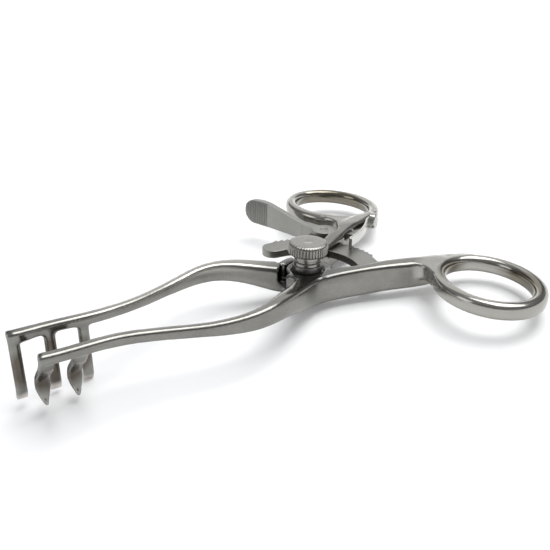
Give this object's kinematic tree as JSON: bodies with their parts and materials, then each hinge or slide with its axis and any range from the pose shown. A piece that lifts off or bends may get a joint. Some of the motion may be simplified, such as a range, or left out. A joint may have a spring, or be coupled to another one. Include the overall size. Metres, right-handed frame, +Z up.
{
  "type": "self retaining retractor",
  "caption": "Hand held self retaining retractor with finger rings, pronged arms, ratchet bar, spring loaded pawl lever and knurled pivot screw.",
  "frame": {"origin": "centre of the base on the plane the instrument stands on", "axes": "+X from the prongs towards the finger rings, +Y towards the arm with three prongs, +Z up; the arms' own plane leans about 7.9 degrees about Y so that prong tips and ring ends touch the base plane"},
  "size_m": [0.1072, 0.0844, 0.0177],
  "materials": {
    "satin_steel": "satin brushed stainless steel",
    "bright_steel": "polished stainless steel"
  },
  "bodies": {
    "far_arm_body": {"far_arm": "satin_steel", "pawl_pin": "satin_steel", "leaf_spring": "bright_steel", "spring_screw": "bright_steel"},
    "near_arm_body": {"near_arm": "satin_steel", "ratchet_bar": "satin_steel", "ratchet_rivets": "satin_steel"},
    "pawl_body": {"pawl_lever": "satin_steel"},
    "collar_body": {"screw_collar": "bright_steel"},
    "thumb_screw_body": {"thumb_screw": "satin_steel"}
  },
  "joints": [
    {"name": "arm_pivot", "type": "hinge", "parent": "far_arm_body", "child": "near_arm_body", "pos_m": [0.01386, 0, 0.00887], "axis": [0.1377, 0, 0.9905], "range_deg": [-5, 25]},
    {"name": "pawl_pivot", "type": "hinge", "parent": "far_arm_body", "child": "pawl_body", "pos_m": [0.02967, 0.01557, 0.00668], "axis": [0.1377, 0, 0.9905], "range_deg": [-6, 7], "stiffness_Nm_per_rad": 0.02},
    {"name": "thumb_screw_lift", "type": "slide", "parent": "far_arm_body", "child": "collar_body", "axis": [0.1377, 0, 0.9905], "range_m": [0, 0.0012]},
    {"name": "thumb_screw_turn", "type": "hinge", "parent": "collar_body", "child": "thumb_screw_body", "pos_m": [0.01386, 0, 0.00887], "axis": [0.1377, 0, 0.9905], "range_deg": [0, 720]}
  ],
  "couplings": [
    {"joint": "thumb_screw_turn", "follows": "thumb_screw_lift", "rad_per_m": 10472}
  ]
}
